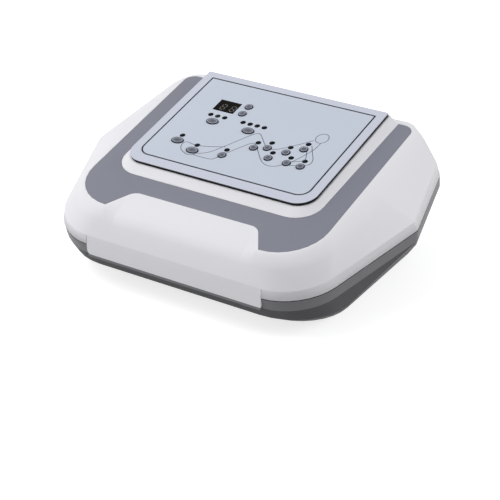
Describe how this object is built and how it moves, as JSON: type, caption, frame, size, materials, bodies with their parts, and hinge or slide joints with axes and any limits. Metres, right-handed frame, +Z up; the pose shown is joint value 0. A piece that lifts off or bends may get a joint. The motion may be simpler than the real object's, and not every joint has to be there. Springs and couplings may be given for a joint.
{
  "type": "compression therapy pump",
  "caption": "Desktop air compression therapy pump: sloping key panel with lamps and display, white top casing, grey base, rear hose nozzles, power inlet and rocker switch.",
  "frame": {"origin": "on the ground under the middle of the bounding box", "axes": "+Z up, the front with its lip towards -Y, hose nozzles towards +Y"},
  "size_m": [0.385, 0.295, 0.152],
  "materials": {
    "shell_white": "satin moulded",
    "base_grey": "fine moulded texture",
    "trim_grey": "satin",
    "panel_face": "printed film",
    "gasket_black": "matt",
    "key_grey": "satin silicone",
    "window_dark": "tinted gloss",
    "module_black": "matt",
    "lamp_dark": "gloss lens",
    "board_green": "solder mask",
    "switch_black": "matt",
    "screw_steel": "zinc plated",
    "ribbon_grey": "flat cable",
    "foot_rubber": "matt",
    "plate_dark": "powder coat",
    "inlet_black": "matt",
    "pin_metal": "plated",
    "rocker_black": "gloss",
    "nozzle_metal": "plated",
    "manifold_grey": "machined",
    "valve_blue": "moulded",
    "bracket_steel": "zinc plated",
    "coil_copper": "lacquered winding",
    "head_aluminium": "cast",
    "hose_clear": "silicone",
    "core_steel": "laminated",
    "can_black": "sleeved",
    "fuse_glass": "clear",
    "terminal_green": "moulded",
    "wire_brown": "insulated"
  },
  "bodies": {
    "housing": {"air_hoses": "hose_clear", "air_outlets": "nozzle_metal", "board_screws": "screw_steel", "board_standoffs": "pin_metal", "bottom_casing": "base_grey", "capacitors": "can_black", "casing_screws": "screw_steel", "control_board": "board_green", "control_panel": "panel_face", "display_module": "module_black", "display_window": "window_dark", "fuse_clips": "pin_metal", "inlet_pins": "pin_metal", "key_switches": "switch_black", "mains_board": "board_green", "mains_fuse": "fuse_glass", "mains_wires": "wire_brown", "panel_gasket": "gasket_black", "plate_screws": "screw_steel", "power_inlet": "inlet_black", "pump_bracket": "bracket_steel", "pump_coils": "coil_copper", "pump_frame": "bracket_steel", "pump_heads": "head_aluminium", "pump_mounts": "foot_rubber", "rear_plate": "plate_dark", "ribbon_cable": "ribbon_grey", "rubber_feet": "foot_rubber", "solenoid_valves": "valve_blue", "status_lamps": "lamp_dark", "switch_frame": "inlet_black", "terminal_block": "terminal_green", "top_casing": "shell_white", "transformer_core": "core_steel", "transformer_winding": "coil_copper", "trim_band": "trim_grey", "valve_manifold": "manifold_grey"},
    "time_up_button": {"key_time_up": "key_grey"},
    "time_down_button": {"key_time_down": "key_grey"},
    "mode_button": {"key_mode": "key_grey"},
    "level_button": {"key_level": "key_grey"},
    "zone_1_button": {"key_zone_1": "key_grey"},
    "zone_2_button": {"key_zone_2": "key_grey"},
    "zone_3_button": {"key_zone_3": "key_grey"},
    "zone_4_button": {"key_zone_4": "key_grey"},
    "zone_5_button": {"key_zone_5": "key_grey"},
    "zone_6_button": {"key_zone_6": "key_grey"},
    "zone_7_button": {"key_zone_7": "key_grey"},
    "zone_8_button": {"key_zone_8": "key_grey"},
    "zone_9_button": {"key_zone_9": "key_grey"},
    "zone_10_button": {"key_zone_10": "key_grey"},
    "rocker": {"switch_rocker": "rocker_black"},
    "armature": {"pump_armature": "bracket_steel", "pump_diaphragms": "gasket_black"}
  },
  "joints": [
    {"name": "time_up_press", "type": "slide", "parent": "housing", "child": "time_up_button", "axis": [0, 0.2284, -0.9736], "range_m": [0, 0.0005], "stiffness_N_per_m": 2000},
    {"name": "time_down_press", "type": "slide", "parent": "housing", "child": "time_down_button", "axis": [0, 0.2284, -0.9736], "range_m": [0, 0.0005], "stiffness_N_per_m": 2000},
    {"name": "mode_press", "type": "slide", "parent": "housing", "child": "mode_button", "axis": [0, 0.2284, -0.9736], "range_m": [0, 0.0005], "stiffness_N_per_m": 2000},
    {"name": "level_press", "type": "slide", "parent": "housing", "child": "level_button", "axis": [0, 0.2284, -0.9736], "range_m": [0, 0.0005], "stiffness_N_per_m": 2000},
    {"name": "zone_1_press", "type": "slide", "parent": "housing", "child": "zone_1_button", "axis": [0, 0.2284, -0.9736], "range_m": [0, 0.0005], "stiffness_N_per_m": 2000},
    {"name": "zone_2_press", "type": "slide", "parent": "housing", "child": "zone_2_button", "axis": [0, 0.2284, -0.9736], "range_m": [0, 0.0005], "stiffness_N_per_m": 2000},
    {"name": "zone_3_press", "type": "slide", "parent": "housing", "child": "zone_3_button", "axis": [0, 0.2284, -0.9736], "range_m": [0, 0.0005], "stiffness_N_per_m": 2000},
    {"name": "zone_4_press", "type": "slide", "parent": "housing", "child": "zone_4_button", "axis": [0, 0.2284, -0.9736], "range_m": [0, 0.0005], "stiffness_N_per_m": 2000},
    {"name": "zone_5_press", "type": "slide", "parent": "housing", "child": "zone_5_button", "axis": [0, 0.2284, -0.9736], "range_m": [0, 0.0005], "stiffness_N_per_m": 2000},
    {"name": "zone_6_press", "type": "slide", "parent": "housing", "child": "zone_6_button", "axis": [0, 0.2284, -0.9736], "range_m": [0, 0.0005], "stiffness_N_per_m": 2000},
    {"name": "zone_7_press", "type": "slide", "parent": "housing", "child": "zone_7_button", "axis": [0, 0.2284, -0.9736], "range_m": [0, 0.0005], "stiffness_N_per_m": 2000},
    {"name": "zone_8_press", "type": "slide", "parent": "housing", "child": "zone_8_button", "axis": [0, 0.2284, -0.9736], "range_m": [0, 0.0005], "stiffness_N_per_m": 2000},
    {"name": "zone_9_press", "type": "slide", "parent": "housing", "child": "zone_9_button", "axis": [0, 0.2284, -0.9736], "range_m": [0, 0.0005], "stiffness_N_per_m": 2000},
    {"name": "zone_10_press", "type": "slide", "parent": "housing", "child": "zone_10_button", "axis": [0, 0.2284, -0.9736], "range_m": [0, 0.0005], "stiffness_N_per_m": 2000},
    {"name": "rocker_tilt", "type": "hinge", "parent": "housing", "child": "rocker", "pos_m": [-0.066, 0.1265, 0.0718], "axis": [1, 0, 0], "range_deg": [-20, 0]},
    {"name": "armature_stroke", "type": "slide", "parent": "housing", "child": "armature", "axis": [1, 0, 0], "range_m": [-0.0015, 0.0015], "stiffness_N_per_m": 3000}
  ]
}
